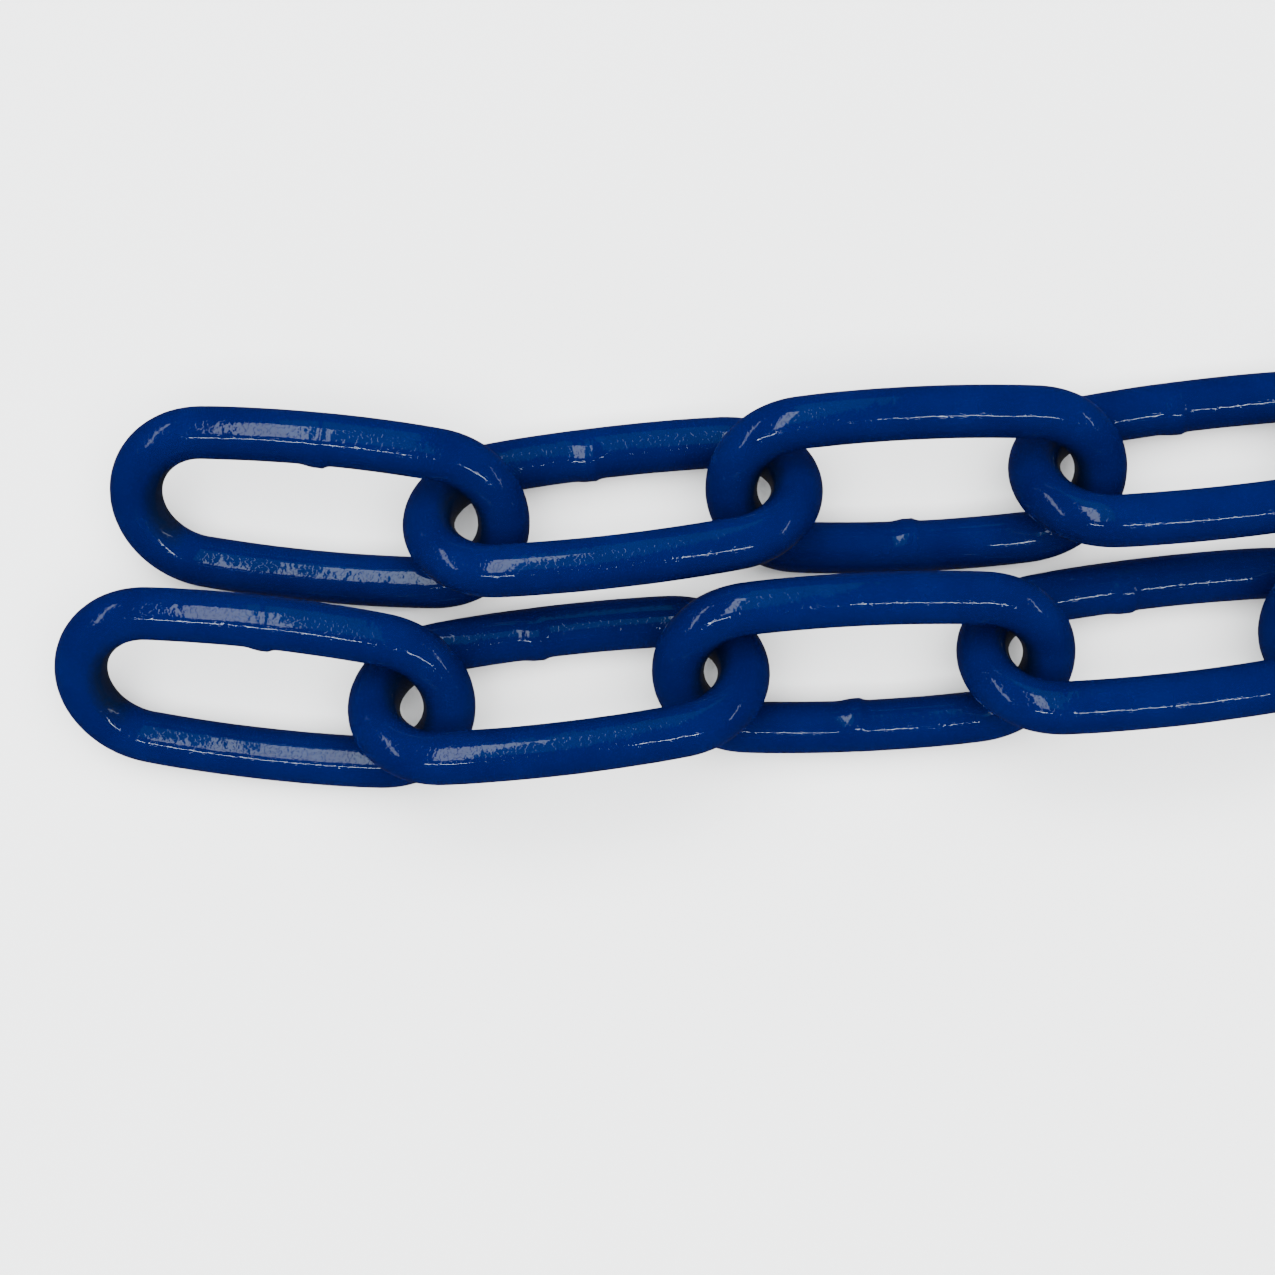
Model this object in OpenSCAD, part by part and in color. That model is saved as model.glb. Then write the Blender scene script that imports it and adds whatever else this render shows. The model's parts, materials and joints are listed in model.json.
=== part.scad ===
// Long-link lashing chain of round steel wire, painted blue, lying doubled on a surface.
// Both free ends are at the left. The two runs lie side by side, flare apart and meet in a wide bend.
// The part stands on Z = 0, with its origin under the middle of its box and +X from the free ends to the bend.

/* [Wire] */
// Diameter of the round wire, over its paint
wire_d = 11; // [9:0.5:12]

/* [Link] */
// Clear length inside a link, from bend to bend
link_pitch = 66; // [60:1:80]
// Clear width inside a link, halfway along its legs
inner_w = 22; // [21:0.5:26]
// How much farther out a leg is halfway along than where it meets the bend
leg_bow = 1; // [0.6:0.1:1.6]
// How much thinner the wire is round the bends, where bending has drawn it out
bend_thinning = 0.1; // [0.06:0.02:0.4]

/* [Weld] */
// How far the weld bulges on the inner side of its leg, its outer side being flush with the wire
weld_h = 0.7; // [0.4:0.1:1.2]
// Height of the ridge round the middle of the bulge
weld_ridge_h = 0.2; // [0.1:0.05:0.4]
// Width of that ridge
weld_ridge_w = 1.6; // [1:0.1:2.4]
// Distance of the weld from the middle of its leg, towards the free ends
weld_offset = 2; // [0:0.5:6]
// Every so many links from a free end, the weld lies on the other leg
weld_swap = 3; // [2:1:6]

/* [Lay] */
// Tilt of each link from lying flat, to the left and to the right in turn
lean = 40; // [40:1:46]
// Tilt of the two end links, which lie a little flatter
end_lean = 36; // [34:1:46]
// Play between two hooked bends
slack = 2.6; // [2.6:0.1:4]
// Play between the end link and the next one
end_slack = 4.6; // [2.6:0.1:5]
// Gap between the two runs, seen from above
run_gap = 0.8; // [0.8:0.1:8]
// Heading of each link in a run, to the left and to the right in turn
zigzag = 2; // [0:0.5:2]
// Extra swing of the end link in the back run
back_end_swing = 8; // [0:0.5:10]
// Extra swing of the end link in the front run
front_end_swing = 9; // [0:0.5:10]
// How far the back run flares out before the bend
back_flare = 28; // [26:1:30]
// Turn from one link to the next round the bend
bend_turn = 30; // [28:0.5:30]

/* [Hidden] */
paint = [0.01, 0.17, 0.45];
wire_sides = 24;
arc_sides = 48;
bow_sides = 180;

// Links in the chain, in each half of it, in each straight run and in each half of the bend
links = 24;
half_links = links / 2;
run_links = 4;
bend_links = 4;

// Centre line of a link: two bends of radius bend_r joined by legs that bow out with radius bow_r
half_w = (inner_w + wire_d) / 2;
half_l = (link_pitch + wire_d) / 2;
bend_r = half_w - leg_bow;
bend_x = half_l - bend_r;
bow_r = (bend_x * bend_x + half_w * half_w - bend_r * bend_r) / (2 * leg_bow);
bend_half_angle = atan2(bow_r - half_w, bend_x);
bow_half_angle = 90 - bend_half_angle;

// Angle by which a bend runs on inside the leg's thicker wire
bend_lap = 1.5;

// Share of a weld's bulge that comes from its shift inwards, the rest being added to its radius
weld_shift_share = 0.62;

// Distance between the centre lines of the two runs
run_spacing = 2 * half_w * cos(lean) + wire_d + run_gap;

// Place in its half, counted from the free end
function place(i) = i <= half_links ? i : links + 1 - i;
function in_back(i) = i <= half_links;
function is_even(i) = i % 2 == 0;

// Tilt of a link, and the height of its centre that lays its low leg on the surface
function lean_of(i) = place(i) == 1 ? end_lean : lean;
function centre_z(i) = half_w * sin(lean_of(i)) + wire_d / 2;

// Heading of the link at a place, with its half straightened to run along +X and flare to +Y
function plain_heading(k, flare) =
    k <= run_links ? 0 :
    k == run_links + 1 ? flare / 2 :
    k <= half_links - bend_links ? flare :
    bend_turn * (half_links + 0.5 - k) - 90;

function zigzag_at(k) = k > run_links ? 0 : is_even(k) ? zigzag : -zigzag;

function end_swing(i) = i == 1 ? back_end_swing : i == links ? front_end_swing : 0;

// Heading of link i, from the back run's free end round to the front run's
function heading(i, front_flare) =
    let (small = zigzag_at(place(i)) - end_swing(i))
    in_back(i) ? plain_heading(place(i), back_flare) + small :
    -180 - plain_heading(place(i), front_flare) + small;

function along(angle) = [cos(angle), sin(angle)];

// Play at the connection between link i and the next
function play(i) = i == 1 || i == links - 1 ? end_slack : slack;

// Way from the centre of link i to the centre of the next
function step(i, front_flare) =
    let (a = heading(i, front_flare), b = heading(i + 1, front_flare))
    half_l * (along(a) + along(b)) - (wire_d + play(i)) * along((a + b) / 2);

function total(list, i = 0) = i == len(list) - 1 ? list[i] : list[i] + total(list, i + 1);

// Distance between the runs that a flare of the front run gives
function spacing(front_flare) =
    -total([for (i = [run_links : links - run_links]) step(i, front_flare)])[1];

// Front flare that brings the runs side by side, found by halving
function solve_flare(low, high, rounds) =
    let (middle = (low + high) / 2)
    rounds == 0 ? middle :
    spacing(middle) > run_spacing ? solve_flare(middle, high, rounds - 1) :
    solve_flare(low, middle, rounds - 1);

front_flare = solve_flare(0, 60, 30);

headings = [for (i = [1 : links]) heading(i, front_flare)];
steps = [for (i = [1 : links - 1]) step(i, front_flare)];
raw_centres = [for (i = 0, p = [0, 0]; i < links; p = i < links - 1 ? p + steps[i] : p, i = i + 1) p];

// Half the size of a link's centre line along an axis, from the axis's parts along and across the link
function reach(lengthwise, crosswise) =
    let (a = abs(lengthwise), b = abs(crosswise), m = norm([a, b]))
    atan2(b, a) <= bend_half_angle ? a * bend_x + bend_r * m :
    bow_r * m - b * (bow_r - half_w);

// The same for link i, along X and along Y
function link_reach(i) =
    let (a = headings[i - 1], width = cos(lean_of(i)))
    [reach(cos(a), sin(a) * width), reach(sin(a), cos(a) * width)];

reaches = [for (i = [1 : links]) link_reach(i)];

function middle(axis) =
    (min([for (i = [0 : links - 1]) raw_centres[i][axis] - reaches[i][axis]]) +
    max([for (i = [0 : links - 1]) raw_centres[i][axis] + reaches[i][axis]])) / 2;

box_middle = [middle(0), middle(1)];
centres = [for (c = raw_centres) c - box_middle];

// Side of the link that carries the weld: the far leg, or the near one at every weld_swap-th place
function weld_side(i) = (in_back(i) ? 1 : -1) * (place(i) % weld_swap == 0 ? -1 : 1);

module wire_arc(radius, half_angle, thickness, sides) {
    rotate([0, 0, -half_angle])
        rotate_extrude(angle = 2 * half_angle, $fn = sides)
            translate([radius, 0])
                circle(d = thickness, $fn = wire_sides);
}

module end_bend() {
    translate([bend_x, 0, 0])
        wire_arc(bend_r, bend_half_angle + bend_lap, wire_d - bend_thinning, arc_sides);
}

module leg() {
    translate([0, half_w - bow_r, 0])
        rotate([0, 0, 90])
            wire_arc(bow_r, bow_half_angle, wire_d, bow_sides);
}

// Puts a round weld form on the leg at +Y, shifted inwards in step with its height
module on_leg(height) {
    translate([0, half_w - weld_shift_share * height, 0])
        rotate([0, 90, 0])
            children();
}

function weld_r(height) = wire_d / 2 + (1 - weld_shift_share) * height;

module weld() {
    ridge_top = weld_h + weld_ridge_h;
    on_leg(weld_h)
        sphere(r = weld_r(weld_h), $fn = wire_sides);
    on_leg(ridge_top)
        cylinder(r = weld_r(ridge_top), h = weld_ridge_w, center = true, $fn = wire_sides);
}

module link(i) {
    towards_end = in_back(i) ? -1 : 1;
    color(paint)
        union() {
            for (turn = [0, 180])
                rotate([0, 0, turn]) {
                    end_bend();
                    leg();
                }
            translate([towards_end * weld_offset, 0, 0])
                mirror([0, weld_side(i) < 0 ? 1 : 0, 0])
                    weld();
        }
}

module placed_link(i) {
    translate([centres[i - 1][0], centres[i - 1][1], centre_z(i)])
        rotate([0, 0, headings[i - 1]])
            rotate([is_even(i) ? -lean_of(i) : lean_of(i), 0, 0])
                link(i);
}

for (i = [1 : links])
    placed_link(i);
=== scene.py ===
"""Looks of the blue long-link lashing chain: one smooth, welded and painted link on each CAD link."""

import json
import math

import bpy
import numpy as np
from mathutils import Matrix, Vector

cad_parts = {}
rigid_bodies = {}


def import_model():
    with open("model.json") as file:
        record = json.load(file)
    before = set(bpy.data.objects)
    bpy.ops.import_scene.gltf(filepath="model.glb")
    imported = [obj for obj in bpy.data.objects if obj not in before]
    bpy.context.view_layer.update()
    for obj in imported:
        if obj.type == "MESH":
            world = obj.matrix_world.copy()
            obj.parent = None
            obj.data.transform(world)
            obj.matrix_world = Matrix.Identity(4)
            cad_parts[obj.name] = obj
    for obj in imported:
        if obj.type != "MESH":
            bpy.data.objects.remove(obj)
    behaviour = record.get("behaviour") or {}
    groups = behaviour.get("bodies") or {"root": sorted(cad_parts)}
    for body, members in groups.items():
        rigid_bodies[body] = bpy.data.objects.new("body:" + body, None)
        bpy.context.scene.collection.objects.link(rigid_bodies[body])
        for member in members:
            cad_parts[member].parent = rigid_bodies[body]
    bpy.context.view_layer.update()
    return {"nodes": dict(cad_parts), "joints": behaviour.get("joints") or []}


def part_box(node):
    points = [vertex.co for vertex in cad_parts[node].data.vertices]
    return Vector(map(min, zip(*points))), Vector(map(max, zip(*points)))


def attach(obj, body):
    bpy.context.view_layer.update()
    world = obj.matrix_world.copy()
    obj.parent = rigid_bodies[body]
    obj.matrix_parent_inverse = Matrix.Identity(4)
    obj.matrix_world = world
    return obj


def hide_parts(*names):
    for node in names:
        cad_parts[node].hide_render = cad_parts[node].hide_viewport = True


MM = 0.001

# Sizes of a link, the same as in the CAD
WIRE_D = 11 * MM
BEND_THINNING = 0.1 * MM
LINK_PITCH = 66 * MM
INNER_W = 22 * MM
LEG_BOW = 1 * MM
LEAN = math.radians(40)
END_LEAN = math.radians(36)
SLACK = 2.6 * MM
END_SLACK = 4.6 * MM
WELD_H = 0.7 * MM
WELD_SWAP = 3

# Centre line of a link, worked out from those sizes
HALF_W = (INNER_W + WIRE_D) / 2
HALF_L = (LINK_PITCH + WIRE_D) / 2
BEND_R = HALF_W - LEG_BOW
BEND_X = HALF_L - BEND_R
BOW_R = (BEND_X**2 + HALF_W**2 - BEND_R**2) / (2 * LEG_BOW)
BEND_HALF_ANGLE = math.atan2(BOW_R - HALF_W, BEND_X)
BEND_LENGTH = 2 * BEND_HALF_ANGLE * BEND_R
LEG_LENGTH = 2 * (math.pi / 2 - BEND_HALF_ANGLE) * BOW_R
LOOP_LENGTH = 2 * (BEND_LENGTH + LEG_LENGTH)

# Mesh of a link, with its rings closer together round the weld
RING_SIDES = 36
RING_SPACING = 1.1 * MM
WELD_RING_SPACING = 0.3 * MM
WELD_REACH = 5 * MM

# Depth of the small waves along the wire
WAVE_DEPTH = 0.08 * MM

# Weld: half widths of its bulge on its soft side and on its sharp side, how ragged its edge and how
# uneven its surface is, and by how much it is lowered all round
WELD_SOFT_SIDE = 2.9 * MM
WELD_SHARP_SIDE = 1.7 * MM
WELD_RAGGEDNESS = 0.5 * MM
WELD_UNEVENNESS = 0.04 * MM
WELD_LOWERING = 0.016 * MM

# Thin seam across the weld: its distance from the middle, half width, height all round, further height
# on the link's inner side, and unevenness
SEAM_OFFSET = 0.8 * MM
SEAM_HALF_W = 0.35 * MM
SEAM_H = 0.03 * MM
SEAM_INNER_H = 0.06 * MM
SEAM_UNEVENNESS = 0.05 * MM

# Distance of the weld from the middle of its leg, towards the free end, for each place counted from there
WELD_OFFSETS = {1: 0, 2: 3.5 * MM, 3: 1 * MM, 4: 5.5 * MM}
WELD_OFFSET_ELSEWHERE = 2 * MM

# Strip on the inner side of a bend, darkened partly by wear and partly by painted shade: how far round the
# wire it reaches, as the cosine from its middle
WEAR_AND_SHADE_EDGE = 0.3

# Blue of the enamel where it is deep and where it is bright, and the dark inside the bends, part wear and
# part painted shade
DEEP_BLUE = (0, 0.0018, 0.033)
BRIGHT_BLUE = (0, 0.0028, 0.041)
WORN_AND_SHADED = (0.002, 0.004, 0.012)

# Camera, from the photograph's perspective
PHOTO_PX = 1275
PHOTO_PX_PER_MM = 4.6691
CAMERA_ELEVATION = math.radians(86.663)
CAMERA_ROLL = math.radians(-4.624)
CAMERA_DISTANCE = 504.79 * MM
CAMERA_TARGET = Vector((-230.59, -27.40, 0)) * MM
SENSOR_W = 36

# Floor, and the sweep up to the wall round it
FLOOR_R = 2.4
SWEEP_R = 1.2
WALL_H = 1.8
FLOOR_SIDES = 96
SWEEP_STEPS = 16
FLOOR_GREY = 0.92

# Lights
WHITE = (1, 1, 1)
COOL = (0.85, 0.98, 1)
BLUISH = (0.1, 0.62, 1)
WARM = (1, 0.93, 0.88)
WORLD_STRENGTH = 0.05
LIGHT_H = 1.4
AIM = (-0.23, 0, 0)
ALONG_X = (1, 0, 0)
SLANTED_X = (0.58, -0.2, 0)
ALONG_Y = (0, 1, 0)
SLANTED_Y = (0.1, 0.99, 0)


def centre_line(s):
    """Point and outward normal in the link's plane, at length s along the loop from the +Y leg's middle."""
    turns, s = divmod(s, LOOP_LENGTH / 2)
    sign = 1 if turns % 2 == 0 else -1
    if s <= LEG_LENGTH / 2:
        a = s / BOW_R
        normal = np.array((-math.sin(a), math.cos(a)))
        point = BOW_R * normal + (0, HALF_W - BOW_R)
    elif s <= LEG_LENGTH / 2 + BEND_LENGTH:
        a = (s - LEG_LENGTH / 2) / BEND_R + math.pi / 2 - BEND_HALF_ANGLE
        normal = np.array((-math.sin(a), math.cos(a)))
        point = BEND_R * normal - (BEND_X, 0)
    else:
        a = (s - LOOP_LENGTH / 2) / BOW_R
        normal = np.array((math.sin(a), -math.cos(a)))
        point = BOW_R * normal + (0, BOW_R - HALF_W)
    return sign * point, sign * normal


def ring_positions(weld_s):
    """Lengths along the loop of the rings, close together round the weld."""
    near = np.arange(-WELD_REACH, WELD_REACH, WELD_RING_SPACING)
    far_length = LOOP_LENGTH - 2 * WELD_REACH
    far = np.linspace(WELD_REACH, WELD_REACH + far_length, round(far_length / RING_SPACING), endpoint=False)
    return weld_s + np.concatenate([near, far])


def waves(rng, s, phi, count, shortest, longest):
    """Smooth irregularity between -1 and 1 that closes on itself round the loop and round the wire."""
    total = np.zeros(np.broadcast(s, phi).shape)
    for _ in range(count):
        cycles = round(LOOP_LENGTH / rng.uniform(shortest, longest))
        around = rng.integers(-3, 4)
        total += np.sin(2 * math.pi * cycles * s / LOOP_LENGTH + around * phi + rng.uniform(0, 2 * math.pi))
    return total / count


def share_between(s, start, end):
    """0 up to the distance start from the link's middle, 1 beyond the distance end, rising between."""
    x = np.array([abs(centre_line(v)[0][0]) for v in s])
    return np.clip((x - start) / (end - start), 0, 1)


def bend_share(s):
    """1 in the bends, 0 in the legs."""
    return share_between(s, BEND_X - 3 * MM, BEND_X + 3 * MM)


def crown_share(s):
    """1 at the crowns of the bends, falling to 0 towards the legs."""
    return share_between(s, BEND_X + 6 * MM, BEND_X + 13 * MM)


def wire_radius(rng, s, phi, from_weld):
    """Radius of the wire at each ring and angle. The angle is 0 on the link's outer side."""
    wavy = waves(rng, s, phi, count=14, shortest=8 * MM, longest=40 * MM)
    radius = WIRE_D / 2 - BEND_THINNING / 2 * bend_share(s[:, 0])[:, None] - WAVE_DEPTH * (1 + wavy) / 2
    shift = waves(rng, 0 * s, phi, count=6, shortest=9 * MM, longest=40 * MM)
    ragged = from_weld + WELD_RAGGEDNESS * shift
    half_w = np.where(ragged > 0, WELD_SHARP_SIDE, WELD_SOFT_SIDE)
    bulge = np.exp(-np.abs(ragged / half_w) ** 3)
    seam = np.exp(-(((ragged - SEAM_OFFSET) / SEAM_HALF_W) ** 2))
    uneven = waves(rng, s, phi, count=12, shortest=1.2 * MM, longest=4 * MM)
    # 1 in the middle of the link's inner side, 0 on its outer side
    inner = np.clip((0.2 - np.cos(phi)) / 1.2, 0, 1)
    weld_height = WELD_H * inner**2 + WELD_UNEVENNESS * uneven - WELD_LOWERING
    seam_height = SEAM_H + SEAM_UNEVENNESS * uneven + SEAM_INNER_H * inner
    return radius + bulge * weld_height + seam * seam_height


def tube_faces(rings):
    """Faces of a closed tube, from the numbers of its points ring by ring."""
    faces = []
    for ring in range(rings):
        here = ring * RING_SIDES
        there = (ring + 1) % rings * RING_SIDES
        for j in range(RING_SIDES):
            k = (j + 1) % RING_SIDES
            faces.append((here + j, there + j, there + k, here + k))
    return faces


def link_mesh(name, weld_s, sharp_side, seed):
    """Link round the origin in the XY plane, with its inner bends marked in an attribute for the darker
    colour of wear and painted shade.
    """
    rng = np.random.default_rng(seed)
    s = ring_positions(weld_s)
    phi = np.linspace(0, 2 * math.pi, RING_SIDES, endpoint=False)
    grid_s = s[:, None] + 0 * phi
    grid_phi = 0 * s[:, None] + phi
    from_weld = (grid_s - weld_s + LOOP_LENGTH / 2) % LOOP_LENGTH - LOOP_LENGTH / 2
    radius = wire_radius(rng, grid_s, grid_phi, sharp_side * from_weld)
    lines = [centre_line(v) for v in s]
    points = np.array([point for point, _ in lines])[:, None, :]
    normals = np.array([normal for _, normal in lines])[:, None, :]
    flat = points + normals * (radius * np.cos(grid_phi))[:, :, None]
    up = radius * np.sin(grid_phi)
    vertices = np.concatenate([flat, up[:, :, None]], axis=2).reshape(-1, 3)
    mesh = bpy.data.meshes.new(name)
    mesh.from_pydata(vertices.tolist(), [], tube_faces(len(s)))
    mesh.update()
    mesh.polygons.foreach_set("use_smooth", [True] * len(mesh.polygons))
    # Inner sides of the bend crowns, where the colour is darkened for wear and for painted shade in the
    # hollow
    wear_and_shade = mesh.attributes.new("wear_and_shade", "FLOAT", "POINT")
    strip = np.clip(-np.cos(grid_phi) - WEAR_AND_SHADE_EDGE, 0, 1) / (1 - WEAR_AND_SHADE_EDGE)
    inside_bend = crown_share(s)[:, None] * strip
    wear_and_shade.data.foreach_set("value", inside_bend.astype(np.float32).ravel())
    return mesh


def place(number, count):
    """Place of a link, counted from the free end of its half, and whether it is in the back run."""
    back = number <= count // 2
    return (number if back else count + 1 - number), back


def heading_of(number, centres, pivots):
    """Direction of a link along its length, from its centre and the pivot it shares with a neighbour."""
    count = len(centres)
    other = number + 1 if number < count else number - 1
    low = min(number, other)
    towards = (centres[other] - centres[number]).normalized()
    slack = END_SLACK if low in (1, count - 1) else SLACK
    end = pivots[low] + towards * (WIRE_D + slack) / 2 - centres[number]
    along = end if other > number else -end
    return math.atan2(along.y, along.x)


def middle(node):
    low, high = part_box(node)
    return (Vector(low) + Vector(high)) / 2


def shared_pivots(frame):
    """Pivot of each connection, by the number of its first link."""
    pivots = {}
    for joint in frame["joints"]:
        pair = [int(joint[key].split("_")[1]) for key in ("parent", "child")]
        pivots[min(pair)] = Vector(joint["pos_m"])
    return pivots


def make_link(name, number, count):
    """Link round the origin, with its weld on the leg and at the distance that its place gives."""
    spot, back = place(number, count)
    side = (1 if back else -1) * (-1 if spot % WELD_SWAP == 0 else 1)
    weld_x = WELD_OFFSETS.get(spot, WELD_OFFSET_ELSEWHERE) * (-1 if back else 1)
    weld_s = -weld_x if side > 0 else LOOP_LENGTH / 2 + weld_x
    sharp_side = -side if back else side
    mesh = link_mesh(f"{name}_painted", weld_s, sharp_side, number)
    link = bpy.data.objects.new(mesh.name, mesh)
    bpy.context.scene.collection.objects.link(link)
    return link


def keep_height(mesh, node):
    """Keeps a mesh between the lowest and the highest point of its CAD node."""
    low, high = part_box(node)
    for vertex in mesh.vertices:
        vertex.co.z = min(max(vertex.co.z, low[2]), high[2])


def make_links(frame, paint):
    names = sorted(frame["nodes"])
    count = len(names)
    centres = {number: middle(name) for number, name in enumerate(names, start=1)}
    pivots = shared_pivots(frame)
    for number, name in enumerate(names, start=1):
        link = make_link(name, number, count)
        lean = END_LEAN if place(number, count)[0] == 1 else LEAN
        tilt = Matrix.Rotation(lean if number % 2 else -lean, 4, "X")
        turn = Matrix.Rotation(heading_of(number, centres, pivots), 4, "Z")
        link.data.transform(Matrix.Translation(centres[number]) @ turn @ tilt)
        keep_height(link.data, name)
        link.data.materials.append(paint)
        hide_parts(name)
        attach(link, name)


def noise(tree, scale, detail, roughness=0.5):
    """Noise in the object's own space, with scale periods to the metre."""
    coords = tree.nodes.new("ShaderNodeTexCoord")
    node = tree.nodes.new("ShaderNodeTexNoise")
    node.inputs["Scale"].default_value = scale
    node.inputs["Detail"].default_value = detail
    node.inputs["Roughness"].default_value = roughness
    tree.links.new(coords.outputs["Object"], node.inputs["Vector"])
    return node.outputs["Fac"]


def ramp(tree, value, low, low_colour, high, high_colour):
    """Colour that goes from one to the other as a value goes from low to high."""
    node = tree.nodes.new("ShaderNodeValToRGB")
    tree.links.new(value, node.inputs["Fac"])
    first, last = node.color_ramp.elements
    first.position = low
    first.color = (*low_colour, 1)
    last.position = high
    last.color = (*high_colour, 1)
    return node.outputs["Color"]


def grey(value):
    return (value, value, value)


def enamel_colour(tree):
    """Cloudy blue, darkened inside the bends partly by wear where the links rub and partly by painted
    shade.
    """
    blue = ramp(tree, noise(tree, scale=90, detail=3), 0.3, DEEP_BLUE, 0.7, BRIGHT_BLUE)
    wear_and_shade = tree.nodes.new("ShaderNodeAttribute")
    wear_and_shade.attribute_name = "wear_and_shade"
    worn_and_shaded = tree.nodes.new("ShaderNodeMath")
    worn_and_shaded.operation = "MULTIPLY_ADD"
    tree.links.new(noise(tree, scale=1600, detail=4, roughness=0.7), worn_and_shaded.inputs[0])
    worn_and_shaded.inputs[1].default_value = 0.5
    tree.links.new(wear_and_shade.outputs["Fac"], worn_and_shaded.inputs[2])
    # Mix towards the dark of wear and painted shade inside the bends
    mix = tree.nodes.new("ShaderNodeMix")
    mix.data_type = "RGBA"
    tree.links.new(ramp(tree, worn_and_shaded.outputs[0], 0.35, grey(0), 1, grey(0.9)), mix.inputs["Factor"])
    tree.links.new(blue, mix.inputs["A"])
    mix.inputs["B"].default_value = (*WORN_AND_SHADED, 1)
    return mix.outputs["Result"]


def enamel_relief(tree):
    """Normal of the enamel: fine orange peel, slow ripples and small pits."""
    peel = noise(tree, scale=1000, detail=1)
    ripple = noise(tree, scale=150, detail=2)
    pits = ramp(tree, peel, 0.5, grey(0), 0.56, grey(1))
    normal = None
    for height, depth in ((peel, 0.016 * MM), (ripple, 0.12 * MM), (pits, 0.008 * MM)):
        bump = tree.nodes.new("ShaderNodeBump")
        bump.inputs["Strength"].default_value = 1
        bump.inputs["Distance"].default_value = depth
        tree.links.new(height, bump.inputs["Height"])
        if normal:
            tree.links.new(normal, bump.inputs["Normal"])
        normal = bump.outputs["Normal"]
    return normal


def blue_paint():
    """Thick glossy blue enamel."""
    material = bpy.data.materials.new("blue_paint")
    material.use_nodes = True
    tree = material.node_tree
    shader = tree.nodes["Principled BSDF"]
    smudges = noise(tree, scale=240, detail=4, roughness=0.6)
    roughness = ramp(tree, smudges, 0.35, grey(0.025), 0.75, grey(0.07))
    tree.links.new(enamel_colour(tree), shader.inputs["Base Color"])
    tree.links.new(roughness, shader.inputs["Roughness"])
    tree.links.new(enamel_relief(tree), shader.inputs["Normal"])
    shader.inputs["IOR"].default_value = 1.5
    return material


def floor_material():
    material = bpy.data.materials.new("pale_floor")
    material.use_nodes = True
    shader = material.node_tree.nodes["Principled BSDF"]
    shader.inputs["Base Color"].default_value = (*grey(FLOOR_GREY), 1)
    shader.inputs["Roughness"].default_value = 0.9
    return material


def floor_mesh():
    """Round floor that sweeps up into a wall."""
    rounding = np.linspace(0, math.pi / 2, SWEEP_STEPS + 1)
    profile = [(FLOOR_R + SWEEP_R * math.sin(a), SWEEP_R * (1 - math.cos(a))) for a in rounding]
    profile.append((FLOOR_R + SWEEP_R, WALL_H))
    turns = np.linspace(0, 2 * math.pi, FLOOR_SIDES, endpoint=False)
    vertices = [(r * math.cos(a), r * math.sin(a), z) for r, z in profile for a in turns]
    faces = [tuple(range(FLOOR_SIDES))]
    for ring in range(len(profile) - 1):
        for k in range(FLOOR_SIDES):
            a = ring * FLOOR_SIDES + k
            b = ring * FLOOR_SIDES + (k + 1) % FLOOR_SIDES
            faces.append((a, a + FLOOR_SIDES, b + FLOOR_SIDES, b))
    mesh = bpy.data.meshes.new("floor")
    mesh.from_pydata(vertices, [], faces)
    mesh.polygons.foreach_set("use_smooth", [True] * len(mesh.polygons))
    return mesh


def make_floor():
    """Pale floor that the paint doesn't mirror, so that the rims of the links stay dark."""
    floor = bpy.data.objects.new("floor", floor_mesh())
    bpy.context.scene.collection.objects.link(floor)
    floor.data.materials.append(floor_material())
    floor.visible_glossy = False


def area_light(name, position, long_side, size, power, colour, mirrored=True):
    """Rectangular light that faces the links, with its first size along the direction long_side."""
    data = bpy.data.lights.new(name, "AREA")
    data.shape = "RECTANGLE"
    data.size, data.size_y = size
    data.energy = power
    data.color = colour
    light = bpy.data.objects.new(name, data)
    light.visible_glossy = mirrored
    z = (Vector(position) - Vector(AIM)).normalized()
    y = z.cross(Vector(long_side)).normalized()
    x = y.cross(z)
    turn = Matrix((x, y, z)).transposed().to_4x4()
    light.matrix_world = Matrix.Translation(position) @ turn
    bpy.context.scene.collection.objects.link(light)


def make_lights():
    """Weak lights that the paint mirrors as lines, bands and glow, and a strong one that it doesn't."""
    world = bpy.data.worlds.new("studio")
    bpy.context.scene.world = world
    world.use_nodes = True
    background = world.node_tree.nodes["Background"]
    background.inputs["Color"].default_value = (*WARM, 1)
    background.inputs["Strength"].default_value = WORLD_STRENGTH
    area_light("tube_left", (-0.75, -0.74, LIGHT_H), ALONG_X, size=(0.46, 0.02), power=1.8, colour=COOL)
    area_light("tube_right", (0.2, -0.78, LIGHT_H), SLANTED_X, size=(0.56, 0.02), power=2.2, colour=COOL)
    area_light("window", (-0.55, 0.4, LIGHT_H), SLANTED_Y, size=(1.5, 0.22), power=4.3, colour=COOL)
    area_light("glow", (-0.28, 0.9, LIGHT_H), SLANTED_Y, size=(2.8, 0.42), power=1.9, colour=BLUISH)
    area_light("left", (-1.9, 0.6, 1.3), ALONG_Y, size=(2, 0.2), power=4.4, colour=COOL)
    area_light("right", (1.5, 0, 1.1), ALONG_Y, size=(1, 0.08), power=1.3, colour=COOL)
    area_light("fill", (-0.23, 0.3, 2.6), ALONG_X, size=(4, 4), power=440, colour=WHITE, mirrored=False)


def make_camera():
    data = bpy.data.cameras.new("camera")
    data.sensor_width = SENSOR_W
    data.lens = PHOTO_PX_PER_MM * CAMERA_DISTANCE / MM * SENSOR_W / PHOTO_PX
    camera = bpy.data.objects.new("camera", data)
    bpy.context.scene.collection.objects.link(camera)
    turn = Matrix.Rotation(CAMERA_ROLL, 4, "Z") @ Matrix.Rotation(math.pi / 2 - CAMERA_ELEVATION, 4, "X")
    back_off = Matrix.Translation((0, 0, CAMERA_DISTANCE))
    camera.matrix_world = Matrix.Translation(CAMERA_TARGET) @ turn @ back_off
    bpy.context.scene.camera = camera


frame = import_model()
make_camera()
make_floor()
make_lights()
make_links(frame, blue_paint())
